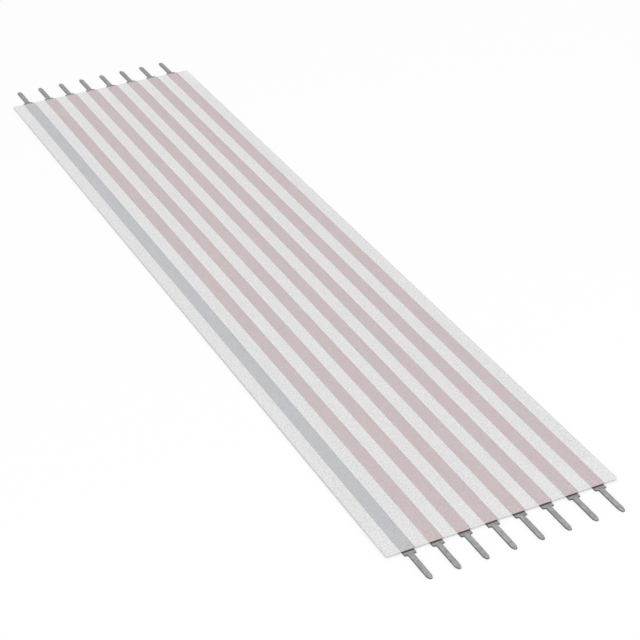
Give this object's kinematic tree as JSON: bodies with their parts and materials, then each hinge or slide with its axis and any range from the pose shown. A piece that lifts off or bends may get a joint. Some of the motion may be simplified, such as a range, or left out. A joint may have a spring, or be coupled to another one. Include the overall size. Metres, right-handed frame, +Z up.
{
  "type": "flat flex cable",
  "caption": "Flat flexible jumper cable: parallel flat copper conductors in milky film, with a row of shouldered solder pins at both ends.",
  "frame": {"origin": "middle of the underside, on the surface that the cable lies on", "axes": "+Y along the cable from the near pins to the far pins, +X across it from line 1, +Z up through the laminate"},
  "size_m": [0.0216, 0.0962, 0.0002],
  "materials": {
    "upper_film": "satin",
    "lower_film": "satin",
    "copper": "satin",
    "marked_copper": "satin",
    "tin": "satin"
  },
  "bodies": {
    "root": {"upper_film": "upper_film", "lower_film": "lower_film", "conductor_1": "marked_copper", "conductor_2": "copper", "conductor_3": "copper", "conductor_4": "copper", "conductor_5": "copper", "conductor_6": "copper", "conductor_7": "copper", "conductor_8": "copper", "near_pin_1": "tin", "near_pin_2": "tin", "near_pin_3": "tin", "near_pin_4": "tin", "near_pin_5": "tin", "near_pin_6": "tin", "near_pin_7": "tin", "near_pin_8": "tin", "far_pin_1": "tin", "far_pin_2": "tin", "far_pin_3": "tin", "far_pin_4": "tin", "far_pin_5": "tin", "far_pin_6": "tin", "far_pin_7": "tin", "far_pin_8": "tin"}
  },
  "joints": []
}
